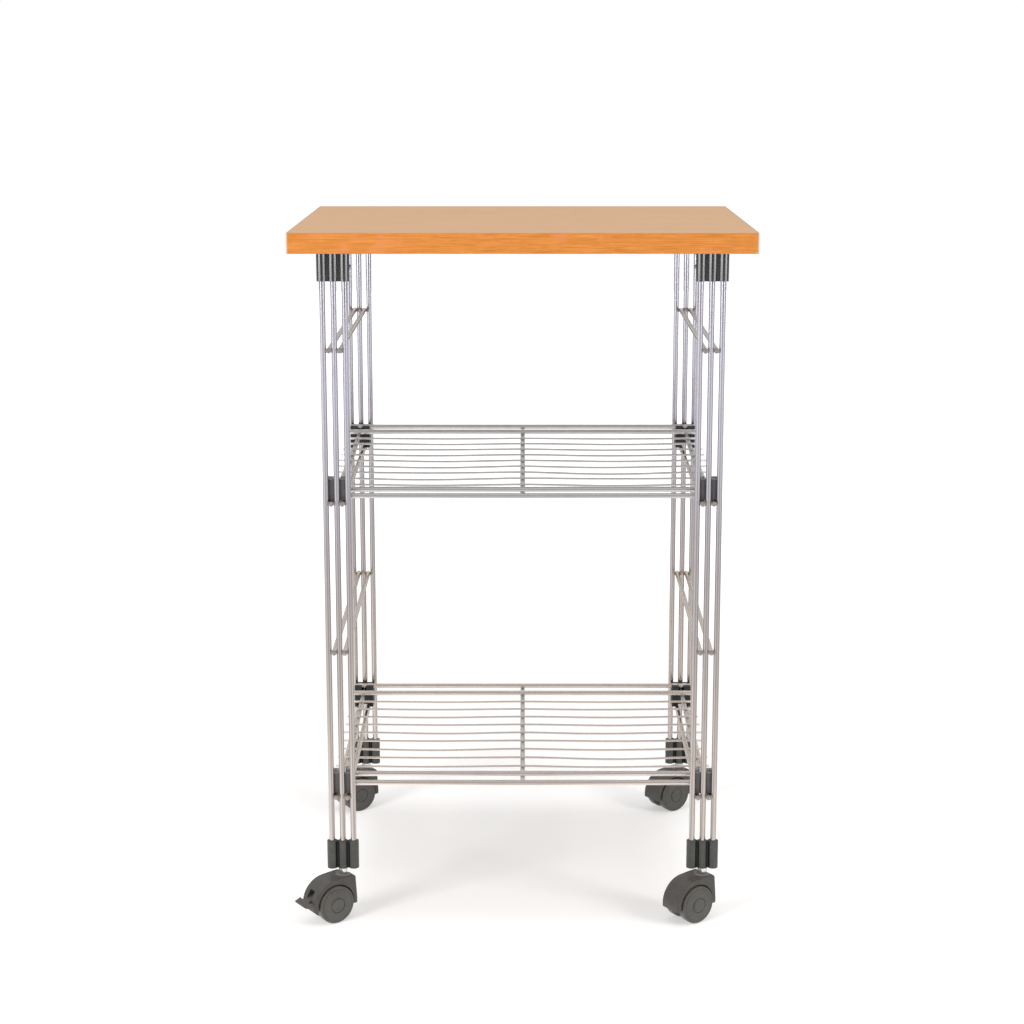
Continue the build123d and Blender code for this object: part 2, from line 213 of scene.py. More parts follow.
def beechFinish(name, look, along="x"):
    grain = beechGrain
    finish = Finish(name)
    point = finish.place()
    across, _, height = finish.axes(point)
    fine = 1 / look["streakWidth"]
    slow = 1 / look["streakLength"]
    run = (slow, fine, fine) if along == "x" else (fine, slow, fine)
    cloudRun = tuple(f * grain["cloudFineness"] for f in run)
    poreRun = tuple(f * grain["poreFineness"] for f in run)
    streaks = finish.noise(finish.stretch(point, run), detail=4.0, roughness=0.62)
    clouds = finish.noise(finish.stretch(point, cloudRun))
    pores = finish.noise(finish.stretch(point, poreRun), detail=1.0).between(*grain["pores"])
    colour = finish.mix(streaks.between(*grain["streaks"]), look["light"], look["dark"])
    colour = finish.mix(clouds.between(*grain["clouds"]) * grain["cloudShare"], colour, look["dark"])
    if "blush" in look:
        patches = finish.noise(point, grain["blushFineness"]).between(*grain["blush"])
        colour = finish.mix(patches * grain["blushShare"], colour, look["blush"])
    colour = finish.mix(pores * grain["poreShare"], colour, look["fleck"])
    if "backing" in look:
        starts, full = grain["backingEdge"]
        underside = height.between(boardLow.z + starts, boardLow.z + full)
        mottle = finish.noise(point, grain["mottleFineness"], detail=3.0).between(*grain["mottle"])
        backing = finish.mix(mottle, look["backing"], look["backingMottle"])
        colour = finish.mix(underside, colour, backing)
    # painted shade along the rounded upper edge of the bands
    if "rim" in look:
        starts, full = grain["rimShadeEdge"]
        colour = finish.mix(height.between(boardHigh.z - starts, boardHigh.z - full), colour, look["rim"])
    # painted highlight on the rounded corners at the ends of the long bands
    if "end" in look and along == "x":
        middle = (boardLow.x + boardHigh.x) / 2
        reach = (boardHigh.x - boardLow.x) / 2
        inside, outside = grain["endHighlightEdge"]
        ends = (across - middle).absolute().between(reach - inside, reach + outside)
        colour = finish.mix(ends, colour, look["end"])
    return finish.surface({
        "Base Color": colour,
        "Roughness": look["roughness"] + streaks * grain["uneven"] - grain["uneven"] / 2,
        "Normal": finish.bump(streaks * grain["streakRelief"] - pores, look["grainDepth"]),
    })


# Steel: satin chrome, drawn along each rod; cooler near the board and warmer near the floor, a painted
# reflection of the room
steelLook = {
    # cool and warm: the steel's colour carrying a painted reflection of the room, cool high up and warm
    # low down
    "cool": tone(197, 194, 204),
    "warm": tone(206, 196, 190),
    "dull": tone(150, 145, 144),
    # cross: a cream tint for the depth rods, a painted reflection of the board's underside
    "cross": tone(232, 221, 204),
    "wire": tone(223, 223, 221),
    # bright: a paler tint; on the shelf rods and wires it is painted light, lifting the dark board
    # underside they mirror
    "bright": tone(236, 234, 233),
    # rosy: a painted warm reflection, low down on the lower shelf
    "rosy": tone(240, 229, 223),
    "weld": tone(190, 183, 178),
    "roughness": 0.20,
    "reflectionWarmHeights": (0.62, 0.20),  # from here down the painted reflection turns the steel warm
    "lowReflectionHeights": (0.40, 0.28),  # from here down a second tint, a painted warm reflection, takes over, on the lower shelf
    "drawDepth": 0.0000012,
    "drawn": (0.52, 0.80),
    "drawnShare": 0.30,
    "drawnUneven": 0.06,
    "patches": (0.50, 0.80),
    "patchFineness": 60.0,
    "patchShare": 0.12,
    "patchUneven": 0.04,
}
# How fine the drawn texture is along x, y and z, for steel that is drawn each way
drawnFineness = {
    "x": (35, 2600, 2600),
    "y": (2600, 35, 2600),
    "z": (2600, 2600, 35),
    "none": (900, 900, 900),
}


def steelFinish(name, along, tint=None, share=0.6, roughness=None, lowTint=None):
    look = steelLook
    finish = Finish(name)
    point = finish.place()
    height = finish.axes(point)[2]
    # painted reflection: cooler near the board, warmer near the floor
    colour = finish.mix(height.between(*look["reflectionWarmHeights"]), look["cool"], look["warm"])
    # the lower shelf's rosy tint, a painted warm reflection
    if lowTint:
        tint = finish.mix(height.between(*look["lowReflectionHeights"]), tint, lowTint)
    if tint:
        colour = finish.mix(share, colour, tint)
    drawn = finish.noise(finish.stretch(point, drawnFineness[along]), detail=3.0, roughness=0.6)
    patches = finish.noise(point, look["patchFineness"], detail=3.0)
    colour = finish.mix(drawn.between(*look["drawn"]) * look["drawnShare"], colour, look["dull"])
    colour = finish.mix(patches.between(*look["patches"]) * look["patchShare"], colour, look["dull"])
    base = look["roughness"] if roughness is None else roughness
    uneven = base + drawn * look["drawnUneven"] + patches * look["patchUneven"]
    return finish.surface({
        "Base Color": colour,
        "Metallic": 1.0,
        "Roughness": uneven - look["patchUneven"],
        "Normal": finish.bump(drawn, look["drawDepth"]),
    })


# Plastics: moulded with a fine spark grain, scuffed a little paler on the parts that get knocked; with
# painted shade in the bottom sockets' grooves, a painted sheen on the front clips and a painted highlight
# on the hoods' tops
legGrid = {
    "left": sum(corner.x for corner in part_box("leg_rods_front_left")) / 2,
    "right": sum(corner.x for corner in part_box("leg_rods_front_right")) / 2,
    "front": sum(corner.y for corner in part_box("leg_rods_front_left")) / 2,
    "back": sum(corner.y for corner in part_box("leg_rods_back_left")) / 2,
    "pitch": 12 * mm,
    "grooveFade": (0.62, 0.40),  # of the groove's width, out from its middle
}
litPad = {
    "reach": 10.5 * mm,  # how far the painted highlight on the flat top of a hood runs from its stem
    "edge": 3.0 * mm,
    "top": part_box("caster_hood_front_left")[1].z,
    "depth": (2.6 * mm, 0.9 * mm),  # below the hood's top
}
mouldGrain = {
    "patches": (0.35, 0.70),
    "patchFineness": 140.0,
    "scuffs": (0.62, 0.80),
    "scuffFineness": (260, 260, 900),
    "uneven": 0.14,  # how far the roughness varies
}


def fromLegs(line, near, far):
    # how far a point is from the nearer of two rows of legs; less than 0 between them
    return (line - (near + far) / 2).absolute() - (far - near) / 2


def grooves(finish, point, width):
    # 1 between the rods of a leg: painted shade in the grooves of its bottom socket, a painted sheen in
    #                              the middle of its clips
    across = finish.axes(point)[0]
    fromLeg = fromLegs(across, legGrid["left"], legGrid["right"]).absolute()
    fromGroove = (fromLeg - legGrid["pitch"] / 2).absolute()
    starts, full = legGrid["grooveFade"]
    return fromGroove.between(width * starts, width * full)


def litPadMask(finish, point):
    # 1 on the flat top of a hood, round its stem, where a painted highlight goes
    across, away, height = finish.axes(point)
    fromLegX = fromLegs(across, legGrid["left"], legGrid["right"])
    fromLegY = fromLegs(away, legGrid["front"], legGrid["back"])
    distance = (fromLegX * fromLegX + fromLegY * fromLegY) ** 0.5
    near = distance.between(litPad["reach"], litPad["reach"] - litPad["edge"])
    starts, full = litPad["depth"]
    return near * height.between(litPad["top"] - starts, litPad["top"] - full)


def plasticFinish(name, look):
    mould = mouldGrain
    finish = Finish(name)
    point = finish.place()
    grain = finish.noise(point, look["grainScale"], roughness=0.6)
    patches = finish.noise(point, mould["patchFineness"], detail=4.0, roughness=0.6)
    scuffs = finish.noise(finish.stretch(point, mould["scuffFineness"]), detail=3.0)
    colour = finish.mix(patches.between(*mould["patches"]), look["body"], look["pale"])
    colour = finish.mix(scuffs.between(*mould["scuffs"]) * look["scuff"], colour, look["worn"])
    # painted shade in the bottom sockets' grooves, a painted sheen between the rods on the front clips
    if "groove" in look:
        colour = finish.mix(grooves(finish, point, look["grooveWidth"]), colour, look["groove"])
    # painted highlight on the flat top of a hood, round its stem
    if "pad" in look:
        colour = finish.mix(litPadMask(finish, point), colour, look["pad"])
    return finish.surface({
        "Base Color": colour,
        "Roughness": look["roughness"] + patches * mould["uneven"] - mould["uneven"] / 2,
        "Specular IOR Level": look.get("gloss", 0.5),
        "Coat Weight": look.get("polish", 0.0),
        "Coat Roughness": look["roughness"],
        "Coat IOR": look.get("polishIor", 1.5),
        "Normal": finish.bump(grain, look["grainDepth"]),
    })


topSocketLook = {
    "body": tone(18, 19, 21), "pale": tone(25, 26, 29), "worn": tone(50, 50, 54), "scuff": 0.3,
    "roughness": 0.15, "grainScale": 2500.0, "grainDepth": 0.000003, "gloss": 0.85,
    "polish": 1.0, "polishIor": 2.0,
}
bottomSocketLook = {
    "body": tone(74, 74, 71), "pale": tone(84, 83, 79), "worn": tone(112, 108, 102), "scuff": 0.4,
    "roughness": 0.46, "grainScale": 2200.0, "grainDepth": 0.00003,
    "groove": tone(7, 18, 14), "grooveWidth": 4.2 * mm,  # painted shade in the grooves between its barrels
}
clipLook = {
    "body": tone(106, 106, 109), "pale": tone(122, 120, 121), "worn": tone(150, 146, 143), "scuff": 0.4,
    "roughness": 0.38, "grainScale": 2200.0, "grainDepth": 0.00002,
    "groove": tone(134, 132, 133), "grooveWidth": 2.6 * mm,  # a painted sheen between the rods
}
shadedClipLook = {
    # a copy of the clip plastic darkened with painted shade: the back clips near black, with less sheen
    # than the front ones
    "body": tone(46, 48, 52), "pale": tone(56, 57, 60), "worn": tone(84, 83, 82), "scuff": 0.3,
    "roughness": 0.50, "grainScale": 2200.0, "grainDepth": 0.00002, "gloss": 0.3,
}
# the hood's pad tone is a painted highlight on its flat top, round the stem
hoodLook = {
    "body": tone(74, 71, 68), "pale": tone(84, 80, 76), "worn": tone(116, 110, 103), "scuff": 0.4,
    "roughness": 0.44, "grainScale": 2000.0, "grainDepth": 0.00003, "pad": tone(138, 131, 125),
}
wheelLook = {
    "body": tone(78, 76, 71), "pale": tone(88, 85, 79), "worn": tone(118, 113, 104), "scuff": 0.5,
    "roughness": 0.44, "grainScale": 1800.0, "grainDepth": 0.00003, "gloss": 0.65,
}
leverLook = {
    "body": tone(76, 73, 70), "pale": tone(88, 83, 78), "worn": tone(126, 118, 110), "scuff": 0.6,
    "roughness": 0.42, "grainScale": 2000.0, "grainDepth": 0.00003,
}

bright = steelLook["bright"]
rosy = steelLook["rosy"]
finishes = {
    "board": beechFinish("beech_top", boardLook),
    "edge_band": beechFinish("beech_band", bandLook),
    "edge_band_side": beechFinish("beech_band_side", bandLook, along="y"),
    "leg_rods": steelFinish("steel_legs", "z", roughness=0.12),
    # depth rods: cream tint, a painted reflection of the board's underside
    "depth_rods": steelFinish("steel_depth_rods", "y", tint=steelLook["cross"], share=0.8),
    # shelf rods and wires: paler tint, painted light, and low down the rosy painted reflection
    "shelf_rods": steelFinish("steel_shelf", "x", tint=bright, share=0.85, roughness=0.24, lowTint=rosy),
    "thin_wires": steelFinish("steel_wires", "x", tint=bright, share=0.95, roughness=0.26, lowTint=rosy),
    "shelf_bars": steelFinish("steel_shelf_bars", "y", tint=steelLook["wire"], share=0.5),
    "welds": steelFinish("steel_welds", "none", tint=steelLook["weld"], share=0.9, roughness=0.55),
    "stem": steelFinish("steel_stem", "none", tint=bright, share=1.0, roughness=0.16),
    "fastener": steelFinish("steel_screws", "none", roughness=0.30),
    "top_socket": plasticFinish("glossy_black_plastic", topSocketLook),
    "bottom_socket": plasticFinish("dark_grey_plastic", bottomSocketLook),
    "clip": plasticFinish("grey_clip_plastic", clipLook),
    # the back clips: the clip plastic darkened with painted shade
    "back_clip": plasticFinish("shaded_clip_plastic", shadedClipLook),
    "hood": plasticFinish("hood_plastic", hoodLook),
    "wheel": plasticFinish("wheel_nylon", wheelLook),
    "lever": plasticFinish("lever_plastic", leverLook),
}
print("finishes made:", len(finishes))


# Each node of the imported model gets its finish; the first of these words in its name decides
nodeFinishes = [
    ("top_board", "board"), ("edge_band_left", "edge_band_side"), ("edge_band_right", "edge_band_side"),
    ("edge_band", "edge_band"), ("leg_rods", "leg_rods"), ("depth_rods", "depth_rods"),
    ("top_socket", "top_socket"), ("bottom_socket", "bottom_socket"), ("screws", "fastener"),
    ("shelf_bars", "shelf_bars"), ("shelf_rods", "shelf_rods"), ("shelf_wires", "shelf_rods"),
    ("back_clips", "back_clip"), ("front_clips", "clip"), ("caster_hood", "hood"), ("wheel", "wheel"),
    ("caster_axle", "fastener"), ("caster_stem", "stem"), ("brake_lever", "lever"),
    ("brake_pin", "fastener"),
]
for name, node in nodes.items():
    wanted = next(finish for word, finish in nodeFinishes if word in name)
    node.data.materials.clear()
    node.data.materials.append(finishes[wanted])
    for face in node.data.polygons:
        face.material_index = 0
print("finishes on the nodes")


# Soft edges on the moulded pieces: joined seams, a small round and flat faces kept flat
softEdges = {
    "widths": {"top_socket": 0.35 * mm, "bottom_socket": 0.4 * mm, "clips": 0.3 * mm},
    "seam": 0.000002,
    "segments": 2,
    "sharperThan": 40,  # degrees
}


def softenEdges(piece, width):
    joined = piece.modifiers.new("join_seams", "WELD")
    joined.merge_threshold = softEdges["seam"]
    rounded = piece.modifiers.new("round_edges", "BEVEL")
    rounded.width = width
    rounded.segments = softEdges["segments"]
    rounded.limit_method = "ANGLE"
    rounded.angle_limit = math.radians(softEdges["sharperThan"])
    rounded.use_clamp_overlap = True
    flat = piece.modifiers.new("flat_faces", "WEIGHTED_NORMAL")
    flat.keep_sharp = False


for name, node in nodes.items():
    for word, width in softEdges["widths"].items():
        if word in name:
            softenEdges(node, width)
print("soft edges on the moulded pieces")


# Mesh helpers
def meshPiece(name, vertices, faces, finish, body):
    mesh = bpy.data.meshes.new(name)
    mesh.from_pydata([tuple(v) for v in vertices], [], faces)
    mesh.materials.append(finish)
    mesh.polygons.foreach_set("use_smooth", [True] * len(faces))
    mesh.update()
    piece = bpy.data.objects.new(name, mesh)
    bpy.context.scene.collection.objects.link(piece)
    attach(piece, body)
    return piece


def crispEdges(piece, degrees):
    crisp = piece.modifiers.new("crisp_edges", "EDGE_SPLIT")
    crisp.split_angle = math.radians(degrees)


def tubeRing(centre, side, up, radius, segments):
    turn = 2 * math.pi / segments
    ring = []
    for i in range(segments):
        ring.append(centre + side * (radius * math.cos(i * turn)) + up * (radius * math.sin(i * turn)))
    return ring


def joinRings(faces, first, rings, count):
    # a closed skin over rings of count points each, with a flat face at both ends
    for row in range(rings - 1):
        for i in range(count):
            j = (i + 1) % count
            a = first + row * count
            b = a + count
            faces.append((a + i, a + j, b + j, b + i))
    last = first + (rings - 1) * count
    faces.append(tuple(first + i for i in reversed(range(count))))
    faces.append(tuple(last + i for i in range(count)))


# Shelf wires: spot welded on the bars, they sag a little between them
wireLook = {
    "radius": 1.25 * mm,
    "count": 9,
    "barHalf": 2.8 * mm,  # half the thickness of the bars below
    "leastSag": 0.7 * mm,
    "mostSag": 2.6 * mm,
    "slack": 1.15,  # less the share of the way to the back: the front wires sag the most
    "skew": (0.85, 0.3),  # the least, and how much more; 1 sags in the middle
    "sharpness": 1.6,
    "steps": 24,
    "segments": 14,
    "endShare": 0.72,  # the ends are drawn in to this share of the radius
    "endLength": 0.3,  # over this share of it
    "seeds": {"upper_shelf": 3, "lower_shelf": 4},
}


def addWire(vertices, faces, path):
    # a closed rod along a path of points
    first = len(vertices)
    radius, segments = wireLook["radius"], wireLook["segments"]
    startWay = (path[1] - path[0]).normalized() * radius * wireLook["endLength"]
    endWay = (path[-1] - path[-2]).normalized() * radius * wireLook["endLength"]
    rings = [(path[0], wireLook["endShare"]), (path[0] + startWay, 1.0)]
    rings += [(point, 1.0) for point in path[1:-1]]
    rings += [(path[-1] - endWay, 1.0), (path[-1], wireLook["endShare"])]
    side, up = Vector((0, 1, 0)), Vector((0, 0, 1))
    for point, share in rings:
        vertices.extend(tubeRing(point, side, up, radius * share, segments))
    joinRings(faces, first, len(rings), segments)


def makeWires(shelf):
    look = wireLook
    chance = random.Random(look["seeds"][shelf])
    low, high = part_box(f"{shelf}_wires")
    barLow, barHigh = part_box(f"{shelf}_bars")
    barX = [barLow.x + look["barHalf"], (barLow.x + barHigh.x) / 2, barHigh.x - look["barHalf"]]
    radius, steps = look["radius"], look["steps"]
    vertices = []
    faces = []
    for index in range(look["count"]):
        share = index / (look["count"] - 1)
        y = low.y + radius + (high.y - low.y - 2 * radius) * share
        z = low.z + radius + (high.z - low.z - 2 * radius) * share
        path = [Vector((low.x, y, z))]
        for left, right in zip(barX, barX[1:]):
            moreSag = (look["mostSag"] - look["leastSag"]) * chance.random()
            depth = look["leastSag"] + moreSag * (look["slack"] - share)
            skew = look["skew"][0] + look["skew"][1] * chance.random()
            ends = 1 if right == barX[-1] else 0  # the last stretch has the point over its bar too
            for step in range(steps + ends):
                t = step / steps
                drop = depth * math.sin(math.pi * t ** skew) ** look["sharpness"]
                path.append(Vector((left + (right - left) * t, y, z - drop)))
        path.append(Vector((high.x, y, z)))
        addWire(vertices, faces, path)
    name = f"{shelf}_sagging_wires"
    piece = meshPiece(name, vertices, faces, finishes["thin_wires"], "trolley")
    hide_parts(f"{shelf}_wires")


for shelf in ("upper_shelf", "lower_shelf"):
    makeWires(shelf)
print("shelf wires made")


# Weld beads: small uneven lumps of metal where rods, bars and wires meet
beadLook = {
    "smooth": 2,
    "uneven": 0.22,
    "lumps": 1.6,  # how many lumps on a bead
    "apart": 900,  # how much the lumps differ from bead to bead
    "legSize": (1.3 * mm, 2.4 * mm, 2.4 * mm),
    "legSeams": (-9.0, -3.1, 3.1, 9.0),  # millimetres from the middle of a leg
    "legInset": 2.2 * mm,
    "legRise": 0.3 * mm,
    "endSize": (2.9 * mm, 1.3 * mm, 3.1 * mm),
    "endSeams": (-6.0, 6.0),
    "endInset": 0.6 * mm,
    "levels": 4,  # pairs of depth rods on each side
    "memberSize": (2.2 * mm, 1.7 * mm, 1.3 * mm),
    "members": 13,  # rods and wires of a shelf, from front to back
    "rodHalf": 3,  # millimetres, half the thickness of a shelf rod
}


def makeBeads(name, places):
    # places are (centre, half sizes) pairs
    vertices = []
    faces = []
    ball = bmesh.new()
    bmesh.ops.create_icosphere(ball, subdivisions=beadLook["smooth"], radius=1.0)
    shape = [v.co.copy() for v in ball.verts]
    sides = [tuple(v.index for v in face.verts) for face in ball.faces]
    ball.free()
    for centre, size in places:
        first = len(vertices)
        for v in shape:
            rough = noise.noise(v * beadLook["lumps"] + centre * beadLook["apart"])
            lump = 1 + beadLook["uneven"] * rough
            vertices.append(centre + Vector((v.x * size[0], v.y * size[1], v.z * size[2])) * lump)
        faces.extend(tuple(first + i for i in side) for side in sides)
    meshPiece(name, vertices, faces, finishes["welds"], "trolley")


def legBeads(side):
    look = beadLook
    places = []
    for row, way in (("front", -1), ("back", 1)):
        legLow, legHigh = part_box(f"leg_rods_{row}_{side}")
        x = (legLow.x + legHigh.x) / 2
        face = legLow.y if way < 0 else legHigh.y
        for level in range(1, look["levels"] + 1):
            rodLow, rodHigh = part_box(f"depth_rods_{side}_{level}")
            z = (rodLow.z + rodHigh.z) / 2
            end = rodLow.y if way < 0 else rodHigh.y
            for seam in look["legSeams"]:
                centre = Vector((x + seam * mm, face - way * look["legInset"], z + look["legRise"]))
                places.append((centre, look["legSize"]))
            for seam in look["endSeams"]:
                centre = Vector((x + seam * mm, end - way * look["endInset"], z))
                places.append((centre, look["endSize"]))
    return places


def shelfBeads(shelf):
    places = []
    barLow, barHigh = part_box(f"{shelf}_bars")
    rodLow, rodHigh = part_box(f"{shelf}_rods")
    half = beadLook["rodHalf"] * mm
    depth = rodHigh.y - rodLow.y - 2 * half
    rise = rodHigh.z - rodLow.z - 2 * half
    slope = math.atan2(rise, depth)
    up = Vector((0, -math.sin(slope), math.cos(slope)))
    for index in range(beadLook["members"]):
        share = index / (beadLook["members"] - 1)
        y = rodLow.y + half + depth * share
        z = rodLow.z + half + rise * share
        seam = Vector((0, y, z)) - up * beadLook["rodHalf"] * mm
        bars = [barLow.x + wireLook["barHalf"], barHigh.x - wireLook["barHalf"]]
        if index > 0:  # the middle bar stops under the second rod
            bars.append((barLow.x + barHigh.x) / 2)
        for x in bars:
            places.append((Vector((x, seam.y, seam.z)), beadLook["memberSize"]))
    return places


for side in ("left", "right"):
    makeBeads(f"weld_beads_{side}_legs", legBeads(side))
for shelf in ("upper_shelf", "lower_shelf"):
    makeBeads(f"weld_beads_{shelf}", shelfBeads(shelf))
print("weld beads made")


# Wheels: turned about the axle, with a rounded tread, a fine groove near the rim and a raised hub
wheelShape = {
    # millimetres, along the axle from its middle and out from it
    "inner": 6.4, "outer": 16.6, "radius": 21.5, "bore": 3.06,
    "hubRadius": 8.0, "hollowRadius": 17.5, "hollowDepth": 4.0, "capThick": 0.6,
    "treadCorner": 1.6, "innerSteps": 6, "outerSteps": 8,
    "groove": 18.4, "grooveWidth": 0.5, "grooveDepth": 0.3, "rimRise": 0.12, "faceRise": 0.1,
    # the outer face inside the groove: its rise over the rim, and its radius
    "face": [
        (0.55, 14.0), (0.85, 10.5), (0.9, 8.9), (0.4, 8.5), (0.4, 8.1), (1.35, 7.7),
        (1.7, 7.3), (1.78, 6.6), (1.55, 4.5), (1.45, 2.0), (1.42, 0.0),
    ],
    "leastRadius": 0.01,
    "segments": 96,
    "crisp": 38,  # degrees
}


def wheelProfile():
    # (along, radius) pairs from the bore round the tread to the middle of the outer face
    s = wheelShape
    inner, outer = s["inner"], s["outer"]
    corner, treadTop = s["treadCorner"], s["radius"] - s["treadCorner"]
    points = [(outer - s["capThick"], 0.0), (outer - s["capThick"], s["bore"]), (inner, s["bore"])]
    points += [(inner, s["hubRadius"]), (inner + s["hollowDepth"], s["hubRadius"])]
    points += [(inner + s["hollowDepth"], s["hollowRadius"]), (inner, s["hollowRadius"])]
    for step in range(s["innerSteps"] + 1):
        turn = math.pi / 2 * step / s["innerSteps"]
        points.append((inner + corner - corner * math.cos(turn), treadTop + corner * math.sin(turn)))
    for step in range(s["outerSteps"] + 1):
        turn = math.pi / 2 * step / s["outerSteps"]
        points.append((outer - corner + corner * math.sin(turn), treadTop + corner * math.cos(turn)))
    half = s["grooveWidth"] / 2
    rim = outer + s["rimRise"]
    floor = rim - s["grooveDepth"]
    points += [(rim, s["groove"] + half), (floor, s["groove"] + half / 2)]
    points += [(floor, s["groove"] - half / 2), (rim + s["faceRise"], s["groove"] - half)]
    points += [(outer + rise, radius) for rise, radius in s["face"]]
    return points


def makeWheel(which, corner):
    axis = Vector(joints[f"{which}_roll_{corner}"]["axis"]).normalized()
    axleLow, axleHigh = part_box(f"caster_axle_{corner}")
    wheelLow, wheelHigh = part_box(f"wheel_{which}_{corner}")
    middle = (axleLow + axleHigh) / 2
    out = axis if ((wheelLow + wheelHigh) / 2 - middle).dot(axis) > 0 else -axis
    up = Vector((0, 0, 1))
    side = out.cross(up).normalized()
    vertices = []
    faces = []
    segments = wheelShape["segments"]
    profile = wheelProfile()
    for along, radius in profile:
        centre = middle + out * along * mm
        reach = max(radius, wheelShape["leastRadius"]) * mm
        vertices.extend(tubeRing(centre, side, up, reach, segments))
    joinRings(faces, 0, len(profile), segments)
    body = f"{which}_wheel_{corner}"
    piece = meshPiece(f"{which}_tyre_{corner}", vertices, faces, finishes["wheel"], body)
    crispEdges(piece, wheelShape["crisp"])
    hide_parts(f"wheel_{which}_{corner}")


for corner in ("front_left", "front_right", "back_left", "back_right"):
    for which in ("near", "far"):
        makeWheel(which, corner)
print("wheels made")


# Brake lever: a ribbed paddle with round corners, on an arm that turns about the pin
leverShape = {
    # millimetres along the trail from the axle, above it, and to both sides
    "pivot": (15.0, 11.5), "barrelRadius": 3.4, "boreRadius": 1.36, "armHalf": 4.6,
    "barrelTurn": 270, "barrelStep": 15,  # degrees
    "armRoot": ((30.9, 6.9), (30.9, 3.9)),  # where the arm's upper and lower edges meet the paddle
    "armShares": (0.15, 0.35, 0.6, 1.0),
    "halfWidth": 13.8, "root": 30.3, "tip": 38.9, "corner": 3.6,
    "rootTop": 7.5, "rootBottom": 3.7, "tipTop": 4.9, "tipBottom": 3.6,
    "topCurve": 1.3, "ribs": 3, "ribsEnd": 0.92, "ribHeight": 0.35, "topSteps": 25,
    # the underside and the ribbed top end this far before the tip, and this far past the root
    "underEnds": (0.5, 0.6),
    "topEnds": (0.4, 0.9),
    "nose": [(-0.1, -0.3), (0.0, 0.0), (-0.1, 0.35)],  # the round tip, from its foremost point
    "shoulder": (0.2, 0.9),  # past the root and below its top
    "heel": 0.1,
    # places across the paddle, from one side to its middle part, and over the middle part
    "edgeShares": [-1.0, -0.985, -0.95, -0.9, -0.84, -0.78, -0.72],
    "middleShares": [-0.6 + 0.1 * i for i in range(13)],
    "sideThin": 0.6,  # the paddle's sides are drawn in to this share of its thickness
    "crisp": 40,  # degrees
}


def leverOutline():
    # the side view of barrel and arm about the pivot, as (ahead, up) pairs
    s = leverShape
    radius = s["barrelRadius"]
    turns = [math.radians(a) for a in range(0, s["barrelTurn"] + 1, s["barrelStep"])]
    points = [(radius * math.cos(turn), radius * math.sin(turn)) for turn in turns]
    top, bottom = [(ahead - s["pivot"][0], up - s["pivot"][1]) for ahead, up in s["armRoot"]]
    points += [(bottom[0] * t, -radius + (bottom[1] + radius) * t) for t in s["armShares"]]
    points += [(radius + (top[0] - radius) * t, top[1] * t) for t in reversed(s["armShares"])]
    return points


def paddleSection(share):
    # the side view of the paddle at a place across it; share runs from -1 to 1 over its width
    s = leverShape
    root, corner = s["root"], s["corner"]
    beyond = max(0.0, (abs(share) * s["halfWidth"] - s["halfWidth"] + corner) / corner)
    tip = s["tip"] - corner * (1 - math.sqrt(max(0.0, 1 - beyond ** 2)))
    middle = (s["tipTop"] + s["tipBottom"]) / 2
    beforeTip, pastRoot = s["underEnds"]
    points = [(root + pastRoot, s["rootBottom"]), (tip - beforeTip, s["tipBottom"])]
    points += [(tip + ahead, middle + rise) for ahead, rise in s["nose"]]
    beforeTip, pastRoot = s["topEnds"]
    for step in range(s["topSteps"]):
        t = step / (s["topSteps"] - 1)
        ahead = tip - beforeTip + (root + pastRoot - tip + beforeTip) * t
        rise = s["tipTop"] + (s["rootTop"] - s["tipTop"]) * t ** s["topCurve"]
        wave = math.sin(math.pi * 2 * s["ribs"] * t)
        ridge = max(0.0, wave) if t < s["ribsEnd"] else 0.0
        points.append((ahead, rise - s["ribHeight"] * (1 - ridge)))
    points.append((root + s["shoulder"][0], s["rootTop"] - s["shoulder"][1]))
    points.append((root + s["heel"], (s["rootTop"] + s["rootBottom"]) / 2))
    return points


def addArm(vertices, faces, place):
    # the barrel and the arm, bored through for the pin
    s = leverShape
    outline = leverOutline()
    bore = []
    for x, z in outline:
        shrink = s["boreRadius"] / math.hypot(x, z)
        bore.append((x * shrink, z * shrink))
    for sideways in (-s["armHalf"], s["armHalf"]):
        for x, z in outline + bore:
            vertices.append(place(s["pivot"][0] + x, s["pivot"][1] + z, sideways))
    count = len(outline)
    nearOuter, nearBore, farOuter, farBore = 0, count, 2 * count, 3 * count
    for i in range(count):
        j = (i + 1) % count
        faces.append((nearOuter + i, nearOuter + j, farOuter + j, farOuter + i))
        faces.append((nearBore + j, nearBore + i, farBore + i, farBore + j))
        faces.append((nearOuter + j, nearOuter + i, nearBore + i, nearBore + j))
        faces.append((farOuter + i, farOuter + j, farBore + j, farBore + i))


def addPaddle(vertices, faces, place):
    s = leverShape
    shares = s["edgeShares"] + s["middleShares"] + [-share for share in reversed(s["edgeShares"])]
    first = len(vertices)
    for share in shares:
        section = paddleSection(share)
        middle = sum(z for _, z in section) / len(section)
        thin = s["sideThin"] if abs(share) == 1.0 else 1.0
        for x, z in section:
            vertices.append(place(x, middle + (z - middle) * thin, share * s["halfWidth"]))
    joinRings(faces, first, len(shares), len(section))


def makeLever():
    axleLow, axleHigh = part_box("caster_axle_front_left")
    stemLow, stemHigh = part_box("caster_stem_front_left")
    axle = (axleLow + axleHigh) / 2
    stem = (stemLow + stemHigh) / 2
    ahead = Vector((axle.x - stem.x, axle.y - stem.y, 0)).normalized()
    upward = Vector((0, 0, 1))
    across = upward.cross(ahead)

    def place(forward, rise, sideways):
        return axle + (ahead * forward + upward * rise + across * sideways) * mm

    vertices = []
    faces = []
    addArm(vertices, faces, place)
    addPaddle(vertices, faces, place)
    piece = meshPiece("ribbed_brake_lever", vertices, faces, finishes["lever"], "brake")
    outward = bmesh.new()
    outward.from_mesh(piece.data)
    bmesh.ops.recalc_face_normals(outward, faces=outward.faces)
    outward.to_mesh(piece.data)
    outward.free()
    crispEdges(piece, leverShape["crisp"])
    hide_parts("brake_lever")


makeLever()
print("brake lever made")


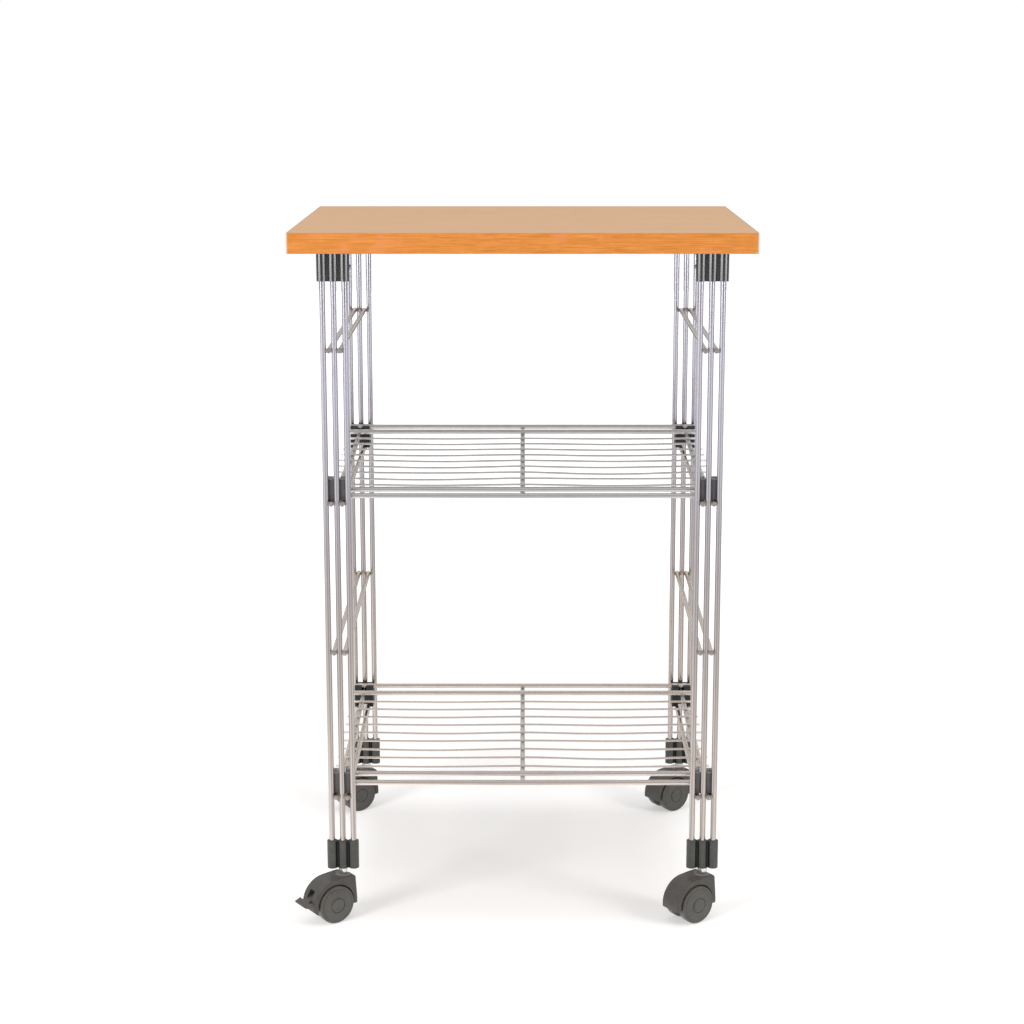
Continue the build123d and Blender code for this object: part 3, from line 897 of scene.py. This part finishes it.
# Floor, lamps and world
white = (1.0, 1.0, 1.0, 1.0)
studio = {
    "floorSize": 12.0,
    "floorSquares": 8,
    "floorDrop": 0.0002,  # below the wheels
    "floorColour": (0.80, 0.778, 0.762, 1.0),
    "mottleFineness": 3.0,
    "mottleShade": 0.99,  # how dark the floor's faint mottle gets
    "shadeGlow": 0.30,  # glow of the floor under the trolley, lowered there into a painted shadow patch over its real shade
    "openGlow": 0.46,  # glow of the floor around it
    "farGlow": 1.0,  # glow of the floor far away, where it runs into the background
    "farStarts": 0.7,
    "farFull": 2.0,
    "shadeHalf": 0.19,
    "shadeEdge": 0.10,
    "leastSquare": 0.0001,  # keeps a distance from the middle above 0
    "worldLight": 0.42,
    "lamps": [
        # name, place, aim, width, height, watts
        ("overhead_softbox", (0.0, -0.1, 2.6), (0.0, 0.0, 0.0), 1.6, 1.6, 13.0),
        ("left_softbox", (-1.55, -1.45, 1.12), (0.0, 0.0, 0.85), 0.72, 1.10, 24.0),
        ("right_softbox", (1.80, -1.05, 1.12), (0.0, 0.0, 0.85), 0.60, 1.10, 20.0),
    ],
}
# What gloss and bare metal see of the room, in place of the lamps
mirrored = {
    "near": 0.80,  # the floor close to the trolley
    "middle": 0.62,
    "far": 0.84,
    "nearEnds": 0.55,
    "middleStarts": 1.15,
    "middleEnds": 1.9,
    "farStarts": 3.4,
    "lowWall": 0.12,  # below the horizon, beyond the floor
    "wall": 0.66,
    "wallRise": (-0.02, 0.06),  # sines of the height over the horizon, like the next one
    "ceiling": 0.9,
    "ceilingRise": (0.15, 0.8),
    "windows": [(-47, 20), (50, 17)],  # two low windows: degrees to the right and half their width
    "windowBottom": -6.45,  # degrees over the horizon
    "windowTop": -0.8,
    "windowSides": 2,  # degrees over which a window's sides fade
    "bottomFade": 0.008,  # sines again
    "topFade": 0.02,
    "windowLight": 4.4,
    "cameraSide": 0.35,  # how much darker the room is behind the camera
    "cameraWay": (0.86, 0.97),
    "floorWays": [
        # degrees from the camera's side, to the right; where it starts and is full; how much lighter
        (-58, 0.70, 0.95, 0.50),
        (42, 0.86, 0.985, 0.34),
        (0, 0.90, 0.99, -0.10),
        (100, 0.80, 0.97, -0.10),
    ],
}


def lookingRays(finish):
    # 1 where the camera looks, and 1 where a reflection or glass looks
    rays = finish.node("ShaderNodeLightPath").socket.node.outputs
    names = ("Is Camera Ray", "Is Glossy Ray", "Is Transmission Ray")
    camera, glossy, clear = [Signal(finish, rays[name]) for name in names]
    mirror = glossy + clear
    return camera, mirror.math("MINIMUM", mirror, 1.0)


def flatDistance(across, away):
    # the distance from the middle, never quite 0
    return (across * across + away * away + studio["leastSquare"]) ** 0.5


def towards(across, away, degrees, starts, full):
    # 1 in one direction from the trolley; 0 degrees is the camera's side, more turns to the right
    turn = math.radians(degrees)
    way = across * math.sin(turn) - away * math.cos(turn)
    return (way / flatDistance(across, away)).between(starts, full)


def floorGlow(across, away):
    # what the camera sees the floor glow with: least under the trolley, a painted shadow patch, white far
    # away
    half, edge = studio["shadeHalf"], studio["shadeEdge"] / 2
    openAcross = across.absolute().between(half - edge, half + edge)
    openAway = away.absolute().between(half - edge, half + edge)
    shade = (1 - openAcross) * (1 - openAway)
    glow = studio["openGlow"] - shade * (studio["openGlow"] - studio["shadeGlow"])
    far = flatDistance(across, away).between(studio["farStarts"], studio["farFull"])
    return glow + far * (studio["farGlow"] - studio["openGlow"])


def mirroredFloor(across, away):
    m = mirrored
    distance = flatDistance(across, away)
    middle = distance.between(m["nearEnds"], m["middleStarts"])
    far = distance.between(m["middleEnds"], m["farStarts"])
    light = m["near"] - middle * (m["near"] - m["middle"]) + far * (m["far"] - m["middle"])
    ways = 1
    for degrees, starts, full, lighter in m["floorWays"]:
        ways = ways + towards(across, away, degrees, starts, full) * lighter
    return light * ways


def makeFloor():
    grid = bmesh.new()
    squares = studio["floorSquares"]
    bmesh.ops.create_grid(grid, x_segments=squares, y_segments=squares, size=studio["floorSize"] / 2)
    mesh = bpy.data.meshes.new("studio_floor")
    grid.to_mesh(mesh)
    grid.free()
    floor = bpy.data.objects.new("studio_floor", mesh)
    bpy.context.scene.collection.objects.link(floor)
    floor.location = (0, 0, -studio["floorDrop"])
    finish = Finish("studio_floor")
    point = finish.place()
    across, away, _ = finish.axes(point)
    darker = tuple(c * studio["mottleShade"] for c in studio["floorColour"][:3]) + (1.0,)
    mottle = finish.noise(point, studio["mottleFineness"])
    colour = finish.mix(mottle, studio["floorColour"], darker)
    camera, mirror = lookingRays(finish)
    strength = camera * floorGlow(across, away)
    matte = finish.node("ShaderNodeBsdfDiffuse", sockets={"Color": colour})
    glow = finish.node("ShaderNodeEmission", sockets={"Color": white, "Strength": strength})
    seen = finish.node("ShaderNodeAddShader", sockets={0: matte, 1: glow})
    room = mirroredFloor(across, away)
    inMirror = finish.node("ShaderNodeEmission", sockets={"Color": white, "Strength": room})
    both = finish.node("ShaderNodeMixShader", sockets={0: mirror, 1: seen, 2: inMirror})
    finish.node("ShaderNodeOutputMaterial", sockets={"Surface": both})
    mesh.materials.append(finish.owner)


def mirroredRoom(across, away, up):
    m = mirrored
    room = m["lowWall"] + up.between(*m["wallRise"]) * (m["wall"] - m["lowWall"])
    room = room + up.between(*m["ceilingRise"]) * (m["ceiling"] - m["wall"])
    room = room * (1 - towards(across, away, 0, *m["cameraWay"]) * m["cameraSide"])
    low = math.sin(math.radians(m["windowBottom"]))
    high = math.sin(math.radians(m["windowTop"]))
    aboveSill = up.between(low - m["bottomFade"], low + m["bottomFade"])
    band = aboveSill * up.between(high + m["topFade"], high - m["topFade"])
    for degrees, half in m["windows"]:
        starts = math.cos(math.radians(half + m["windowSides"]))
        full = math.cos(math.radians(half - m["windowSides"]))
        room = room + towards(across, away, degrees, starts, full) * band * m["windowLight"]
    return room


def makeWorld():
    world = bpy.data.worlds.new("studio_world")
    bpy.context.scene.world = world
    finish = Finish("studio_world", world)
    across, away, up = finish.axes(finish.node("ShaderNodeTexCoord", out="Generated"))
    camera, mirror = lookingRays(finish)
    room = mirroredRoom(across, away, up)
    strength = camera + mirror * room + (1 - camera - mirror) * studio["worldLight"]
    light = finish.node("ShaderNodeBackground", sockets={"Color": white, "Strength": strength})
    finish.node("ShaderNodeOutputWorld", sockets={"Surface": light})


def makeLamp(name, place, aim, width, height, watts):
    lamp = bpy.data.lights.new(name, "AREA")
    lamp.shape = "RECTANGLE"
    lamp.size = width
    lamp.size_y = height
    lamp.energy = watts
    holder = bpy.data.objects.new(name, lamp)
    bpy.context.scene.collection.objects.link(holder)
    holder.location = place
    holder.rotation_mode = "QUATERNION"
    holder.rotation_quaternion = (Vector(aim) - Vector(place)).to_track_quat("-Z", "Y")
    holder.visible_camera = False
    holder.visible_glossy = False  # gloss sees the windows of the world instead


makeFloor()
makeWorld()
for lamp in studio["lamps"]:
    makeLamp(*lamp)
print("floor, world and lamps made")


# Camera, at the photograph's height and distance, tilted down with a small shift
cameraLook = {
    "place": (0.004, -2.361, 0.9635),
    "tilt": 11.13,  # degrees down
    "sensor": 36.0,  # millimetres
    "lensPixels": 2067.0,  # the focal length, in pixels of a picture this wide
    "picturePixels": 1024,
    "shiftX": -0.0104,
    "shiftY": -0.055,
}
camera = bpy.data.cameras.new("studio_camera")
camera.sensor_width = cameraLook["sensor"]
camera.lens = cameraLook["lensPixels"] / cameraLook["picturePixels"] * cameraLook["sensor"]
camera.shift_x = cameraLook["shiftX"]
camera.shift_y = cameraLook["shiftY"]
cameraHolder = bpy.data.objects.new("studio_camera", camera)
bpy.context.scene.collection.objects.link(cameraHolder)
cameraHolder.location = cameraLook["place"]
cameraHolder.rotation_euler = (math.radians(90 - cameraLook["tilt"]), 0, 0)
bpy.context.scene.camera = cameraHolder
bpy.context.scene.view_settings.view_transform = "Standard"
print("camera set")
